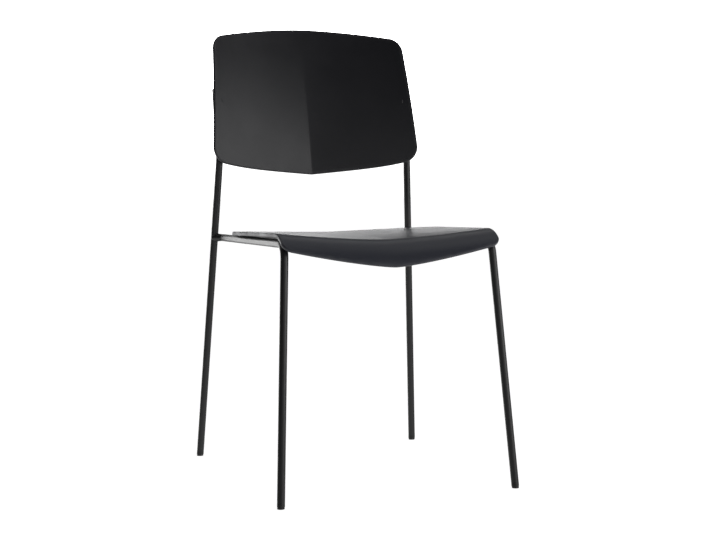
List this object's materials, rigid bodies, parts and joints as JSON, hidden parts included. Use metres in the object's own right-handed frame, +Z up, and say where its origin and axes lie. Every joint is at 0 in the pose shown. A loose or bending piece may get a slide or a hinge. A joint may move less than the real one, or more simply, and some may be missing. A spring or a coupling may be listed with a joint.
{
  "type": "choir chair",
  "caption": "Armless hall chair: slim bent steel tube frame, dished seat shell with a rolled front lip, and a folded hollow back shell.",
  "frame": {"origin": "on the floor, under the middle of the chair's width and depth", "axes": "+Z up, -Y towards the front of the chair, +X towards the sitter's left"},
  "size_m": [0.4736, 0.5638, 0.8594],
  "materials": {
    "frame_paint": "black powder coat with a slight sheen, on bent steel tube and flat bar",
    "seat_plastic": "satin black moulded plastic with a fine even grain",
    "back_plastic": "satin black moulded plastic with a fine even grain",
    "glide_nylon": "plain black nylon",
    "blacked_steel": "black oxide on steel",
    "insert_brass": "plain turned brass"
  },
  "bodies": {
    "root": {"seat_shell": "seat_plastic", "back_shell": "back_plastic", "front_leg_rail_left": "frame_paint", "front_leg_rail_right": "frame_paint", "rear_post_left": "frame_paint", "rear_post_right": "frame_paint", "seat_strap_front": "frame_paint", "seat_strap_rear": "frame_paint", "glide_front_left": "glide_nylon", "glide_front_right": "glide_nylon", "glide_rear_left": "glide_nylon", "glide_rear_right": "glide_nylon", "post_cap_left": "glide_nylon", "post_cap_right": "glide_nylon", "seat_screw_front_left": "blacked_steel", "seat_screw_front_right": "blacked_steel", "seat_screw_rear_left": "blacked_steel", "seat_screw_rear_right": "blacked_steel", "seat_insert_front_left": "insert_brass", "seat_insert_front_right": "insert_brass", "seat_insert_rear_left": "insert_brass", "seat_insert_rear_right": "insert_brass", "back_screw_lower_left": "blacked_steel", "back_screw_lower_right": "blacked_steel", "back_screw_upper_left": "blacked_steel", "back_screw_upper_right": "blacked_steel", "back_insert_lower_left": "insert_brass", "back_insert_lower_right": "insert_brass", "back_insert_upper_left": "insert_brass", "back_insert_upper_right": "insert_brass"}
  },
  "joints": []
}
